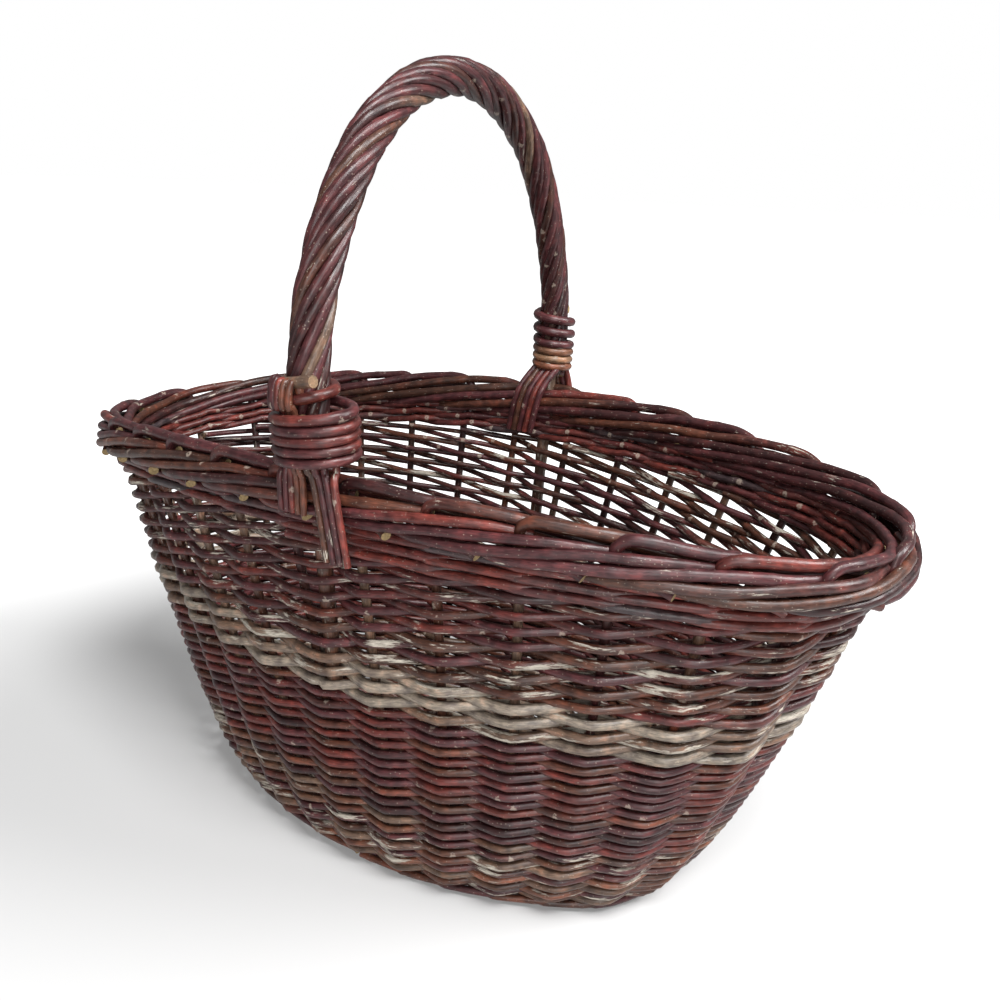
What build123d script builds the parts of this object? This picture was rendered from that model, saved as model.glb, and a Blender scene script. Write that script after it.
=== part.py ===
# Oval willow basket with one roped handle across its middle. Millimetres, +Z up, +X along the basket.
# The origin is on the ground under the middle of the base.
import os
from math import atan2, cos, degrees, exp, pi, radians, sin, sqrt, tan

from build123d import *

# Overall shape, measured on the stake line, which runs through the middle of the wall's thickness
rim_height = 249
rim_drop_right = 15
rim_drop_left = 21
base_half_length = 147
base_half_width = 80
rim_half_length = 243
rim_half_width = 118
kick = 13.5
kick_share = 0.07
bulge = 0.17
end_fullness = 0.73

# Rods and wall; the stations are where the wall's lofts take their ovals, as shares of the rim's height
stake_count = 28
stake_diameter = 5
weaver_diameter = 4.4
stake_lean = -0.55
stake_insertion = 14
stake_heel_share = 0.085
stake_shin_share = 0.2
stake_top_share = 0.955
rod_clearance = 0.3
band_gap = 0.3
hollow_radius = 11
hollow_depth = 4
hollow_low_share = 0.15
window_rows = 3
window_length = 15
window_height = 4.6
foot_stations = (0, 0.02, 0.048)
root_stations = (0.11, 0.16, 0.231)
root_start = 0.032
border_stations = (0.85, 0.95, 1.04)
band_start_reach = 0.88
band_end_reach = 1.02

# Base
cross_stick_diameter = 8
cross_stick_count = 8
long_stick_diameter = 5
long_stick_count = 4
base_weaver_diameter = 3.5
stick_gap = 5

# Heights of the bands, as shares of the rim's height
foot_share = 0.04
root_share = 0.22
lower_share = 0.5
grey_share = 0.6
upper_share = 0.835
wale_share = 0.905

# Border
border_width = 22
border_outset = 1.4
border_round = 8

# Handle
core_diameter = 8
roping_diameter = 19
crown_radius = 110
crown_half_angle = 53.5
leg_radius = 178
leg_lean = 7
handle_rise = 178.8
core_outset = 1
core_entry_share = 0.8
core_depth_share = 0.52

# Collars and tails at the handle's feet
collar_rod = 4.2
collar_clearance = 0.4
tail_clearance = 0.4
tail_step = 1
collar_pitch = 4.9
near_collar_half_x = 20.2
near_collar_half_y = 15.1
near_collar_x = 5
near_collar_outset = 1.8
near_collar_lift = 4.4
near_bound_turns = 4.5
near_upper_turns = 2
near_upper_pitch = 8
stub_length = 15
loosen_after = 0.25
loosen_over = 0.5
far_collar_lift = 12
far_close_turns = 3.5
far_open_turns = 2.5
far_open_pitch = 9
left_tail_diameter = 3.1
left_tail_count = 5
left_tail_spacing = 3.4
left_tail_top = 44
left_tail_first = 1.9
left_tail_end_share = 0.92
right_tail_diameter = 3.5
right_tail_count = 4
right_tail_spacing = 4
right_tail_slant = 9
right_tail_first = 1.9
right_tail_end_share = 0.84
far_tail_diameter = 3.4
far_tail_spacing = 4.2
far_inner_tail_count = 5
far_inner_slant = 9
far_outer_tail_count = 4
far_outer_slant = 7
far_tail_end_share = 0.875
turn_down_drop = 3
outside_hang_share = 0.98

base_thickness = cross_stick_diameter + 2 * base_weaver_diameter
base_middle = base_thickness / 2
wall_thickness = stake_diameter + 2 * weaver_diameter
end_height = rim_height - (rim_drop_right + rim_drop_left) / 2


def half_length(share):
    """Half the basket's length on the stake line, at this share of the rim's height."""
    swelled = share + bulge * share * (1 - share)
    kicked = kick * (1 - exp(-share / kick_share)) * (1 - share)
    return base_half_length + (rim_half_length - base_half_length) * swelled + kicked


def half_width(share):
    """Half the basket's width on the stake line, at this share of the rim's height."""
    swelled = share + bulge * share * (1 - share)
    kicked = kick * (1 - exp(-share / kick_share)) * (1 - share)
    return base_half_width + (rim_half_width - base_half_width) * swelled + kicked


def rim_level(x):
    """Height of the rim over this x: it is lower at the basket's ends."""
    drop = rim_drop_right if x > 0 else rim_drop_left
    return rim_height - drop * (x / rim_half_length) ** 2


def oval_arcs(a, b):
    """End radius, side radius, the arcs' centre offsets and the turn where they meet, in radians."""
    end_radius = end_fullness * b
    side_radius = (a * a + b * b - 2 * a * end_radius) / (2 * (b - end_radius))
    end_centre = a - end_radius
    side_centre = side_radius - b
    return end_radius, side_radius, end_centre, side_centre, atan2(side_centre, end_centre)


def draw_arc(centre, radius, start, size):
    """Draws an arc of size degrees through three of its points, from the angle start."""
    angles = [radians(start + share * size) for share in (0, 0.5, 1)]
    ThreePointArc(*[(centre[0] + radius * cos(angle), centre[1] + radius * sin(angle)) for angle in angles])


def draw_oval(a, b, grow=0):
    """Face of the four-arc oval with these half sizes, moved outwards by grow."""
    end_radius, side_radius, end_centre, side_centre, meeting = oval_arcs(a, b)
    turn = degrees(meeting)
    with BuildLine() as outline:
        draw_arc((end_centre, 0), end_radius + grow, -turn, 2 * turn)
        draw_arc((0, -side_centre), side_radius + grow, turn, 180 - 2 * turn)
        draw_arc((-end_centre, 0), end_radius + grow, 180 - turn, 2 * turn)
        draw_arc((0, side_centre), side_radius + grow, 180 + turn, 180 - 2 * turn)
    make_face(outline.edges())


def oval_point(share, part_round, grow=0):
    """Point of the stake line, part_round of the way round the oval from the near middle towards +X."""
    end_radius, side_radius, end_centre, side_centre, meeting = oval_arcs(half_length(share), half_width(share))
    side = side_radius * (pi / 2 - meeting)
    quarter = side + end_radius * meeting
    run = (part_round % 1) * 4
    sign_x = 1 if run < 2 else -1
    sign_y = -1 if run < 1 or run > 3 else 1
    along = quarter * (run % 1 if int(run) % 2 == 0 else 1 - run % 1)
    if along < side:
        turn = along / side_radius
        x = (side_radius + grow) * sin(turn)
        y = (side_radius + grow) * cos(turn) - side_centre
    else:
        turn = meeting - (along - side) / end_radius
        x = end_centre + (end_radius + grow) * cos(turn)
        y = (end_radius + grow) * sin(turn)
    x = x * sign_x
    return Vector(x, y * sign_y, share * rim_level(x))


def stake_round(number, share):
    """How far round the oval a stake stands at this share of the height: the stakes lean a little."""
    return (number + stake_lean * share) / stake_count


def stake_route(number):
    """Corners of a stake's route: into the base, out to its edge, and up the wall to the border."""
    foot = oval_point(0, stake_round(number, 0))
    inner = oval_point(0, stake_round(number, 0), -stake_insertion)
    inner.Z = base_middle
    foot.Z = base_middle
    shares = (stake_heel_share, stake_shin_share, stake_top_share)
    return [inner, foot] + [oval_point(share, stake_round(number, share)) for share in shares]


def largest_fillets(points, share=0.45):
    """A radius for each corner: share of its shorter run, over the tangent of half the turn."""
    radii = []
    for before, corner, after in zip(points, points[1:], points[2:]):
        into = corner - before
        out = after - corner
        half_turn = radians(into.get_angle(out)) / 2
        radii.append(share * min(into.length, out.length) / tan(half_turn))
    return radii


def lay_rod(points, radius):
    """Adds a round rod along straight runs joined by tangent arcs."""
    with BuildLine() as route:
        if len(points) > 2:
            FilletPolyline(*points, radius=largest_fillets(points))
        else:
            Line(*points)
    sweep_round(route.line, radius)


def sweep_round(path, radius):
    """Adds a round tube along the path."""
    with BuildSketch(Plane(origin=path @ 0, z_dir=path % 0)) as section:
        Circle(radius)
    sweep(sections=section.sketch, path=path)


def level_profile(share, lift):
    """The line of equal share of the rim's height, seen from the side, moved up by lift."""
    reach = rim_half_length + border_width
    ends = [(x, share * rim_level(x) + lift) for x in (-reach, reach)]
    return ends[0], (0, share * rim_height + lift), ends[1]


def keep_between(low_share, high_share):
    """Keeps what lies between two such lines, half the gap between two bands away from each."""
    low = level_profile(low_share, band_gap / 2)
    high = level_profile(high_share, -band_gap / 2)
    with BuildSketch(Plane.XZ) as side_view:
        with BuildLine():
            bottom = ThreePointArc(*low)
            top = ThreePointArc(*high)
            Line(bottom @ 0, top @ 0)
            Line(bottom @ 1, top @ 1)
        make_face()
    extrude(side_view.sketch, amount=2 * rim_half_width, both=True, mode=Mode.INTERSECT)


# Room for the stakes and for the handle's core inside the wall
with BuildPart() as stake_room:
    for stake in range(stake_count):
        lay_rod(stake_route(stake), stake_diameter / 2 + rod_clearance)

# The handle's middle line: a crown arc, two leg arcs that lean in at the rim, then down inside the wall
crown_turn = radians(crown_half_angle)
leg_turn = pi / 2 + radians(leg_lean)
top_height = rim_height + handle_rise
crown_centre = top_height - crown_radius
leg_centre_y = (leg_radius - crown_radius) * sin(crown_turn)
leg_centre_z = crown_centre - (leg_radius - crown_radius) * cos(crown_turn)
leg_end_y = leg_radius * sin(leg_turn) - leg_centre_y
leg_end_z = leg_centre_z + leg_radius * cos(leg_turn)
entry_z = core_entry_share * rim_height
entry_y = leg_end_y - (leg_end_z - entry_z) * tan(radians(leg_lean))
core_end_y = half_width(core_depth_share) + core_outset


def crown_point(turn):
    """Point of the crown arc, turn radians from the top."""
    return crown_radius * sin(turn), crown_centre + crown_radius * cos(turn)


def leg_point(turn):
    """Point of a leg arc, where a quarter turn is where the leg stands upright."""
    return leg_radius * sin(turn) - leg_centre_y, leg_centre_z + leg_radius * cos(turn)


def leg_axis(z):
    """Distance of the leg's middle from the basket's middle, at a height near the rim."""
    if z < leg_end_z:
        return leg_end_y - (leg_end_z - z) * tan(radians(leg_lean))
    return sqrt(leg_radius**2 - (leg_centre_z - z) ** 2) - leg_centre_y


def draw_bow():
    """Draws the part of the handle's middle line that shows above the rim."""
    for side in (-1, 1):
        crown = [crown_point(turn) for turn in (0, crown_turn / 2, crown_turn)]
        leg = [leg_point(turn) for turn in (crown_turn, (crown_turn + leg_turn) / 2, leg_turn)]
        ThreePointArc(*[(0, side * y, z) for y, z in crown])
        ThreePointArc(*[(0, side * y, z) for y, z in leg])


def draw_core():
    """Draws the core's middle line: the bow and what is pushed down into the walls."""
    draw_bow()
    for side in (-1, 1):
        corners = [(leg_end_y, leg_end_z), (entry_y, entry_z), (core_end_y, core_depth_share * rim_height)]
        points = [Vector(0, side * y, z) for y, z in corners]
        FilletPolyline(*points, radius=largest_fillets(points))


def add_core(radius):
    """Adds a round tube along the core's middle line, from its foot in the near wall."""
    with BuildLine() as route:
        draw_core()
    near_foot = Vector(0, -core_end_y, core_depth_share * rim_height)
    up = Vector(0, core_end_y - entry_y, entry_z - near_foot.Z).normalized()
    with BuildSketch(Plane(origin=near_foot, z_dir=up)) as section:
        Circle(radius)
    sweep(sections=section.sketch, path=route.wires()[0])


with BuildPart() as handle_core:
    add_core(core_diameter / 2)

with BuildPart() as core_room:
    add_core(core_diameter / 2 + rod_clearance)

with BuildPart() as handle_roping:
    with BuildLine() as bow:
        draw_bow()
    with BuildSketch(Plane(origin=(0, -leg_end_y, leg_end_z), z_dir=(0, -tan(radians(leg_lean)), 1))) as ring:
        Circle(roping_diameter / 2)
        Circle(core_diameter / 2 + rod_clearance, mode=Mode.SUBTRACT)
    sweep(sections=ring.sketch, path=bow.wires()[0])


def half_chord(radius, offset):
    """Half the chord of a circle at this distance from its centre."""
    return sqrt(radius**2 - offset**2)


base_grow = -wall_thickness / 2
base_arcs = oval_arcs(base_half_length, base_half_width)
base_side_radius = base_arcs[1] + base_grow
base_end_radius = base_arcs[0] + base_grow
quarter_round = base_arcs[1] * (pi / 2 - base_arcs[4]) + base_arcs[0] * base_arcs[4]
stick_pitch = 4 * quarter_round / stake_count


def stick_places(count):
    """Distances of the sticks from the middle, halfway between two stakes."""
    return [(number - (count - 1) / 2) * stick_pitch for number in range(count)]


stick_inset = stake_insertion + base_grow + stick_gap


def lay_long_sticks(radius):
    """Adds the sticks along X, up to the inner ends of the stakes."""
    for y in stick_places(long_stick_count):
        reach = base_arcs[2] + half_chord(base_end_radius, y) - stick_inset
        with Locations(Location((0, y, base_middle), (0, 90, 0))):
            Cylinder(radius, 2 * reach)


def lay_cross_sticks(radius):
    """Adds the sticks along Y, up to the inner ends of the stakes."""
    for x in stick_places(cross_stick_count):
        reach = half_chord(base_side_radius, x) - base_arcs[3] - stick_inset
        with Locations(Location((x, 0, base_middle), (90, 0, 0))):
            Cylinder(radius, 2 * reach)


with BuildPart() as base_long_sticks:
    lay_long_sticks(long_stick_diameter / 2)

with BuildPart() as long_stick_room:
    lay_long_sticks(long_stick_diameter / 2 + rod_clearance)

with BuildPart() as base_cross_sticks:
    lay_cross_sticks(cross_stick_diameter / 2)
    add(long_stick_room.part, mode=Mode.SUBTRACT)

with BuildPart() as stick_room:
    lay_long_sticks(long_stick_diameter / 2 + rod_clearance)
    lay_cross_sticks(cross_stick_diameter / 2 + rod_clearance)

with BuildPart() as base_weave:
    with BuildSketch() as floor_outline:
        draw_oval(base_half_length, base_half_width, base_grow - band_gap)
    extrude(floor_outline.sketch, amount=base_thickness)
    add(stick_room.part, mode=Mode.SUBTRACT)
    add(stake_room.part, mode=Mode.SUBTRACT)

with BuildPart() as side_stakes:
    for stake in range(stake_count):
        lay_rod(stake_route(stake), stake_diameter / 2)


def loft_ovals(heights, grow, mode=Mode.ADD):
    """Lofts through the basket's ovals at these heights, each moved outwards by grow."""
    ovals = []
    for height in heights:
        with BuildSketch(Plane.XY.offset(height)) as station:
            draw_oval(half_length(height / end_height), half_width(height / rim_height), grow)
        ovals.append(station.sketch)
    loft(sections=ovals, mode=mode)


def fill_wall(heights):
    """Fills the wall's thickness between these heights."""
    loft_ovals(heights, wall_thickness / 2)
    loft_ovals(heights, -wall_thickness / 2, Mode.SUBTRACT)


def lay_hollows(side):
    """Adds the hollows that the wall has between its stakes, outside (side 1) or inside (side -1)."""
    grow = side * (wall_thickness / 2 + hollow_radius - hollow_depth)
    shares = (hollow_low_share, stake_top_share)
    for stake in range(stake_count):
        lay_rod([oval_point(share, stake_round(stake + 0.5, share), grow) for share in shares], hollow_radius)


with BuildPart() as outer_hollows:
    lay_hollows(1)

with BuildPart() as inner_hollows:
    lay_hollows(-1)


def cut_windows(low_share, high_share):
    """Cuts openings between the stakes, but none where the handle's core stands or at the two ends."""
    quarter = stake_count // 4
    places = []
    for row in range(window_rows):
        share = low_share + (high_share - low_share) * (row + 0.5) / window_rows
        for stake in range(stake_count):
            if stake % quarter:
                part_round = stake_round(stake + 0.5, share)
                middle = oval_point(share, part_round)
                outwards = oval_point(share, part_round, 1) - middle
                turn = degrees(atan2(outwards.Y, outwards.X))
                places.append(Location(tuple(middle), (0, 0, turn)))
    with Locations(*places):
        Box(2 * wall_thickness, window_length, window_height, mode=Mode.SUBTRACT)


def fill_band(low_share, high_share):
    """Fills the wall between two lines of equal share, round the stakes and the core."""
    shares = (band_start_reach * low_share, (low_share + high_share) / 2, band_end_reach * high_share)
    fill_wall([share * rim_height for share in shares])
    keep_between(low_share, high_share)
    add(stake_room.part, mode=Mode.SUBTRACT)
    add(core_room.part, mode=Mode.SUBTRACT)


def clear_floor():
    """Clears the room of the base inside the wall."""
    with BuildSketch() as floor_room:
        draw_oval(base_half_length, base_half_width, base_grow)
    extrude(floor_room.sketch, amount=base_thickness, mode=Mode.SUBTRACT)


# The bands of the wall, from the ground up
with BuildPart() as foot_wale:
    loft_ovals([share * rim_height for share in foot_stations], wall_thickness / 2)
    keep_between(-foot_share, foot_share)
    clear_floor()
    add(stake_room.part, mode=Mode.SUBTRACT)

with BuildPart() as root_band:
    root_heights = [share * rim_height for share in root_stations]
    loft_ovals([root_start * rim_height, base_thickness] + root_heights, wall_thickness / 2)
    loft_ovals([base_thickness] + root_heights, -wall_thickness / 2, Mode.SUBTRACT)
    clear_floor()
    keep_between(foot_share, root_share)
    add(stake_room.part, mode=Mode.SUBTRACT)

with BuildPart() as lower_weave:
    fill_band(root_share, lower_share)
    add(outer_hollows.part, mode=Mode.SUBTRACT)
    add(inner_hollows.part, mode=Mode.SUBTRACT)

with BuildPart() as grey_band:
    fill_band(lower_share, grey_share)
    add(outer_hollows.part, mode=Mode.SUBTRACT)
    add(inner_hollows.part, mode=Mode.SUBTRACT)

with BuildPart() as upper_weave:
    fill_band(grey_share, upper_share)
    add(outer_hollows.part, mode=Mode.SUBTRACT)
    add(inner_hollows.part, mode=Mode.SUBTRACT)
    cut_windows(grey_share, upper_share)

with BuildPart() as top_wale:
    fill_band(upper_share, wale_share)

with BuildPart() as border:
    border_heights = [share * rim_height for share in border_stations]
    loft_ovals(border_heights, border_outset + border_width / 2)
    loft_ovals(border_heights, border_outset - border_width / 2, Mode.SUBTRACT)
    keep_between(wale_share, 1)
    fillet(border.faces().sort_by(Axis.Z)[-1].edges(), border_round)
    add(stake_room.part, mode=Mode.SUBTRACT)
    add(core_room.part, mode=Mode.SUBTRACT)


def draw_biarc(start, start_way, end, end_way):
    """Draws two arcs that leave start along start_way and reach end along end_way."""
    chord = end - start
    along = chord.dot(start_way + end_way)
    spread = 2 * (1 - start_way.dot(end_way))
    reach = (sqrt(along * along + spread * chord.dot(chord)) - along) / spread
    before = start + start_way * reach
    after = end - end_way * reach
    joint = (before + after) * 0.5
    TangentArc(start, joint, tangent=start_way)
    TangentArc(joint, end, tangent=(after - before).normalized())


def way_along(place, turn):
    """Direction of a winding at this turn."""
    step = 0.0005
    return (place(turn + step) - place(turn - step)).normalized()


def wind(place, turns, first_run, last_run):
    """Adds a rod wound by quarter turns through place(turn), with a straight run at each end."""
    quarters = [number / 4 for number in range(round(4 * turns) + 1)]
    points = [place(turn) for turn in quarters]
    ways = [way_along(place, turn) for turn in quarters]
    with BuildLine() as route:
        Line(points[0] - ways[0] * first_run, points[0])
        for number in range(len(quarters) - 1):
            draw_biarc(points[number], ways[number], points[number + 1], ways[number + 1])
        Line(points[-1], points[-1] + ways[-1] * last_run)
    sweep_round(route.wires()[0], collar_rod / 2)


def least_gap(place, turns):
    """Least gap between neighbouring turns of a winding, measured on points."""
    steps = 72
    points = [place(number / steps) for number in range(round(steps * turns) + 1)]
    gaps = []
    for number, point in enumerate(points):
        for other in points[number + steps // 2 :]:
            gaps.append((other - point).length - collar_rod)
    return min(gaps)


def climb(turn, close_turns, open_pitch):
    """Height that a winding has gained after this many turns: the last ones stand further apart."""
    opened = max(0, turn - close_turns)
    return collar_pitch * turn + (open_pitch - collar_pitch) * opened


leg_winding_radius = roping_diameter / 2 + collar_clearance + collar_rod / 2


def near_winding(turn):
    """Middle of the near collar's rod: it binds leg and tails, then only the leg, as it goes up."""
    z = rim_height + near_collar_lift + climb(turn, near_bound_turns, near_upper_pitch)
    free = min(1, max(0, (turn - near_bound_turns - loosen_after) / loosen_over))
    eased = free * free * (3 - 2 * free)
    half_x = near_collar_half_x + (leg_winding_radius - near_collar_half_x) * eased
    half_y = near_collar_half_y + (leg_winding_radius - near_collar_half_y) * eased
    middle_x = near_collar_x * (1 - eased)
    middle_y = -leg_axis(z) - near_collar_outset * (1 - eased)
    angle = 2 * pi * turn
    return Vector(middle_x - half_x * sin(angle), middle_y + half_y * cos(angle), z)


def far_winding(turn):
    """Middle of the far collar's rod, close round the leg."""
    z = rim_height + far_collar_lift + climb(turn, far_close_turns, far_open_pitch)
    angle = 2 * pi * turn
    return Vector(leg_winding_radius * sin(angle), leg_axis(z) + leg_winding_radius * cos(angle), z)


near_turns = near_bound_turns + near_upper_turns
far_turns = far_close_turns + far_open_turns

with BuildPart() as near_collar:
    wind(near_winding, near_turns, collar_rod, stub_length)

with BuildPart() as far_collar:
    wind(far_winding, far_turns, collar_rod, collar_rod)

print("near collar least gap", round(least_gap(near_winding, near_turns), 2))
print("far collar least gap", round(least_gap(far_winding, far_turns), 2))

# Where the tails hang outside and inside the border, and where they turn down over it
turn_down_z = rim_height - turn_down_drop


def bound_point(x, z, radius):
    """Where a rod of this radius touches the inside of the near collar's bound turns at this height."""
    slack = collar_rod / 2 + collar_clearance + radius
    across = (x - near_collar_x) / (near_collar_half_x - slack)
    middle_y = -leg_axis(z) - near_collar_outset
    return Vector(x, middle_y - (near_collar_half_y - slack) * sqrt(1 - across**2), z)


def hang_y(radius, side):
    """Where a rod hangs outside the border (side 1) or inside it (side -1)."""
    hang_share = outside_hang_share if side > 0 else wale_share
    border_middle = half_width(hang_share) + border_outset
    return border_middle + side * (border_width / 2 + tail_clearance + radius)


bound_low_z = rim_height + near_collar_lift
bound_high_z = bound_low_z + climb(near_bound_turns, near_bound_turns, near_upper_pitch)
step_out_z = bound_high_z + near_upper_pitch / 2

with BuildPart() as near_left_tails:
    left_radius = left_tail_diameter / 2
    outside_y = -hang_y(left_radius, 1)
    over_reach = leg_winding_radius + collar_rod / 2 + tail_clearance + left_radius
    for number in range(left_tail_count):
        x = (number - left_tail_count + left_tail_first) * left_tail_spacing
        over_y = -leg_axis(step_out_z) - half_chord(over_reach, x)
        step_z = step_out_z + x / leg_winding_radius * (near_upper_pitch + collar_pitch) / 8
        lay_rod(
            [
                Vector(x, over_y, rim_height + left_tail_top),
                Vector(x, over_y, step_z + tail_step),
                bound_point(x, step_z - tail_step, left_radius),
                bound_point(x, bound_low_z, left_radius),
                Vector(x, outside_y, turn_down_z),
                Vector(x, outside_y, left_tail_end_share * rim_height),
            ],
            left_radius,
        )

with BuildPart() as near_right_tails:
    right_radius = right_tail_diameter / 2
    outside_y = -hang_y(right_radius, 1)
    for number in range(right_tail_count):
        x = (number + right_tail_first) * right_tail_spacing
        lay_rod(
            [
                bound_point(x, bound_high_z + collar_rod / 2, right_radius),
                bound_point(x, bound_low_z, right_radius),
                Vector(x + right_tail_slant / 4, outside_y, turn_down_z),
                Vector(x + right_tail_slant, outside_y, right_tail_end_share * rim_height),
            ],
            right_radius,
        )


roping_low_z = leg_end_z - roping_diameter / 2 * sin(radians(leg_lean))
tails_top_z = roping_low_z - far_tail_diameter / 2 - tail_clearance


def lay_far_tails(count, side, slant):
    """Adds the far tails on one side of the border: inside it is -1, outside it is 1."""
    radius = far_tail_diameter / 2
    start_y = leg_end_y + side * (core_diameter / 2 + tail_clearance + 2 * radius)
    away_y = hang_y(radius, side)
    for number in range(count):
        x = (number - (count - 1) / 2) * far_tail_spacing
        lay_rod(
            [
                Vector(x, start_y, tails_top_z),
                Vector(x + slant / 2, away_y, turn_down_z),
                Vector(x + slant, away_y, far_tail_end_share * rim_height),
            ],
            radius,
        )


with BuildPart() as far_inner_tails:
    lay_far_tails(far_inner_tail_count, -1, -far_inner_slant)

with BuildPart() as far_outer_tails:
    lay_far_tails(far_outer_tail_count, 1, far_outer_slant)

pieces = {
    "base_long_sticks": base_long_sticks,
    "base_cross_sticks": base_cross_sticks,
    "base_weave": base_weave,
    "foot_wale": foot_wale,
    "side_stakes": side_stakes,
    "root_band": root_band,
    "lower_weave": lower_weave,
    "grey_band": grey_band,
    "upper_weave": upper_weave,
    "top_wale": top_wale,
    "border": border,
    "handle_core": handle_core,
    "handle_roping": handle_roping,
    "near_collar": near_collar,
    "far_collar": far_collar,
    "near_left_tails": near_left_tails,
    "near_right_tails": near_right_tails,
    "far_inner_tails": far_inner_tails,
    "far_outer_tails": far_outer_tails,
}

os.makedirs("parts", exist_ok=True)
for name, piece in pieces.items():
    piece.part.label = name
    export_step(piece.part, f"parts/{name}.step")
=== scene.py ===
import random
from math import asin, atan2, ceil, cos, exp, floor, pi, radians, sin, sqrt, tan

import bpy
from mathutils import Matrix, Vector


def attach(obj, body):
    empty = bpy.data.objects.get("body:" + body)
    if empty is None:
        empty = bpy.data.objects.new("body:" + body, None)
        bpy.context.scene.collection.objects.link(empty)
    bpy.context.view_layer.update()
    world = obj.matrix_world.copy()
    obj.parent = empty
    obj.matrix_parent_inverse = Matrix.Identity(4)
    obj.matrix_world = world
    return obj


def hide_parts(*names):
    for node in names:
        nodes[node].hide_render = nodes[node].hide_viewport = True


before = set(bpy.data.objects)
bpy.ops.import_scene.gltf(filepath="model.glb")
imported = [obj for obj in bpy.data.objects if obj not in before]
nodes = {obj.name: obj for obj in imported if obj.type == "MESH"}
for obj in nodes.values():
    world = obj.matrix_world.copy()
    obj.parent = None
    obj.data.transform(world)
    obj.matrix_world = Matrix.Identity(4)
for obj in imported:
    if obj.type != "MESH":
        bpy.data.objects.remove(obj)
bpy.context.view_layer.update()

bpy.ops.object.select_all(action="DESELECT")
print("frame loaded,", len(nodes), "nodes")


# colour and node helpers

def hexToLinear(code):  # sRGB hex to linear RGBA
    code = code.lstrip("#")
    parts = [int(code[i:i + 2], 16) / 255 for i in (0, 2, 4)]
    return [c / 12.92 if c <= 0.04045 else ((c + 0.055) / 1.055) ** 2.4 for c in parts] + [1.0]


def addNode(tree, kind, settings=None, inputs=None, links=None, stops=None):
    node = tree.nodes.new(kind)
    for key, value in (settings or {}).items():
        setattr(node, key, value)
    for key, value in (inputs or {}).items():
        node.inputs[key].default_value = value
    for key, source in (links or {}).items():
        tree.links.new(source, node.inputs[key])
    for number, (position, colour) in enumerate(stops or []):
        elements = node.color_ramp.elements
        element = elements[number] if number < 2 else elements.new(position)
        element.position = position
        element.color = colour if isinstance(colour, list) else [colour, colour, colour, 1]
    return node


# the basket's own shape, in millimetres, as the CAD has it, but for baseLift, which keeps the woven base
# just off the floor

basket = {
    "rimHeight": 249, "rimDropRight": 15, "rimDropLeft": 21,
    "baseHalfLength": 147, "baseHalfWidth": 80, "rimHalfLength": 243, "rimHalfWidth": 118,
    "kick": 13.5, "kickShare": 0.07, "bulge": 0.17, "endFullness": 0.73,
    "stakeCount": 28, "stakeLean": -0.55, "stakeRadius": 2.5, "baseMiddle": 7.5, "baseLift": 0.2,
}
rimHeight = basket["rimHeight"]
stakeCount = basket["stakeCount"]
halfRound = stakeCount // 2  # the handle stands at stake 0 and at this one
middleZ = basket["baseMiddle"] + basket["baseLift"]


def halfSize(base, rim, share):
    swelled = share + basket["bulge"] * share * (1 - share)
    kicked = basket["kick"] * (1 - exp(-share / basket["kickShare"])) * (1 - share)
    return base + (rim - base) * swelled + kicked


def halfLength(share):
    return halfSize(basket["baseHalfLength"], basket["rimHalfLength"], share)


def halfWidth(share):
    return halfSize(basket["baseHalfWidth"], basket["rimHalfWidth"], share)


def rimLevel(x):
    drop = basket["rimDropRight"] if x > 0 else basket["rimDropLeft"]
    return rimHeight - drop * (x / basket["rimHalfLength"]) ** 2


def ovalArcs(a, b):
    endRadius = basket["endFullness"] * b
    sideRadius = (a * a + b * b - 2 * a * endRadius) / (2 * (b - endRadius))
    return endRadius, sideRadius, a - endRadius, sideRadius - b, atan2(sideRadius - b, a - endRadius)


def ovalSpot(a, b, partRound, grow=0):  # point on a four-arc oval, from the near middle towards +X
    endRadius, sideRadius, endCentre, sideCentre, meeting = ovalArcs(a, b)
    side = sideRadius * (pi / 2 - meeting)
    quarter = side + endRadius * meeting
    run = (partRound % 1) * 4
    signX = 1 if run < 2 else -1
    signY = -1 if run < 1 or run > 3 else 1
    along = quarter * (run % 1 if int(run) % 2 == 0 else 1 - run % 1)
    if along < side:
        turn = along / sideRadius
        x = (sideRadius + grow) * sin(turn)
        y = (sideRadius + grow) * cos(turn) - sideCentre
    else:
        turn = meeting - (along - side) / endRadius
        x = endCentre + (endRadius + grow) * cos(turn)
        y = (endRadius + grow) * sin(turn)
    return x * signX, y * signY


def wallPoint(stake, share, grow=0, lift=0):  # stake counts round the wall and leans as the stakes do
    partRound = (stake + basket["stakeLean"] * max(0, share)) / stakeCount
    x, y = ovalSpot(halfLength(max(0, share)), halfWidth(max(0, share)), partRound, grow)
    return Vector((x, y, share * rimLevel(x) + lift))


# willow rods

barkColours = {  # sRGB of dried willow bark
    "plum": "#4b2628", "red": "#612c26", "brown": "#5a3426", "rust": "#6c4331", "tan": "#7e6049",
    "grey": "#897d6f", "greyBrown": "#685243", "slate": "#3f3436", "dark": "#361a1a", "umber": "#4a2e23",
}
barkLinear = {name: hexToLinear(code) for name, code in barkColours.items()}


def smoothNoise(seed, place):  # steady value noise, -1 to 1
    low = floor(place)
    part = place - low
    part = part * part * (3 - 2 * part)
    ends = [random.Random(seed * 7919 + low + step).uniform(-1, 1) for step in (0, 1)]
    return ends[0] + (ends[1] - ends[0]) * part


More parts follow.
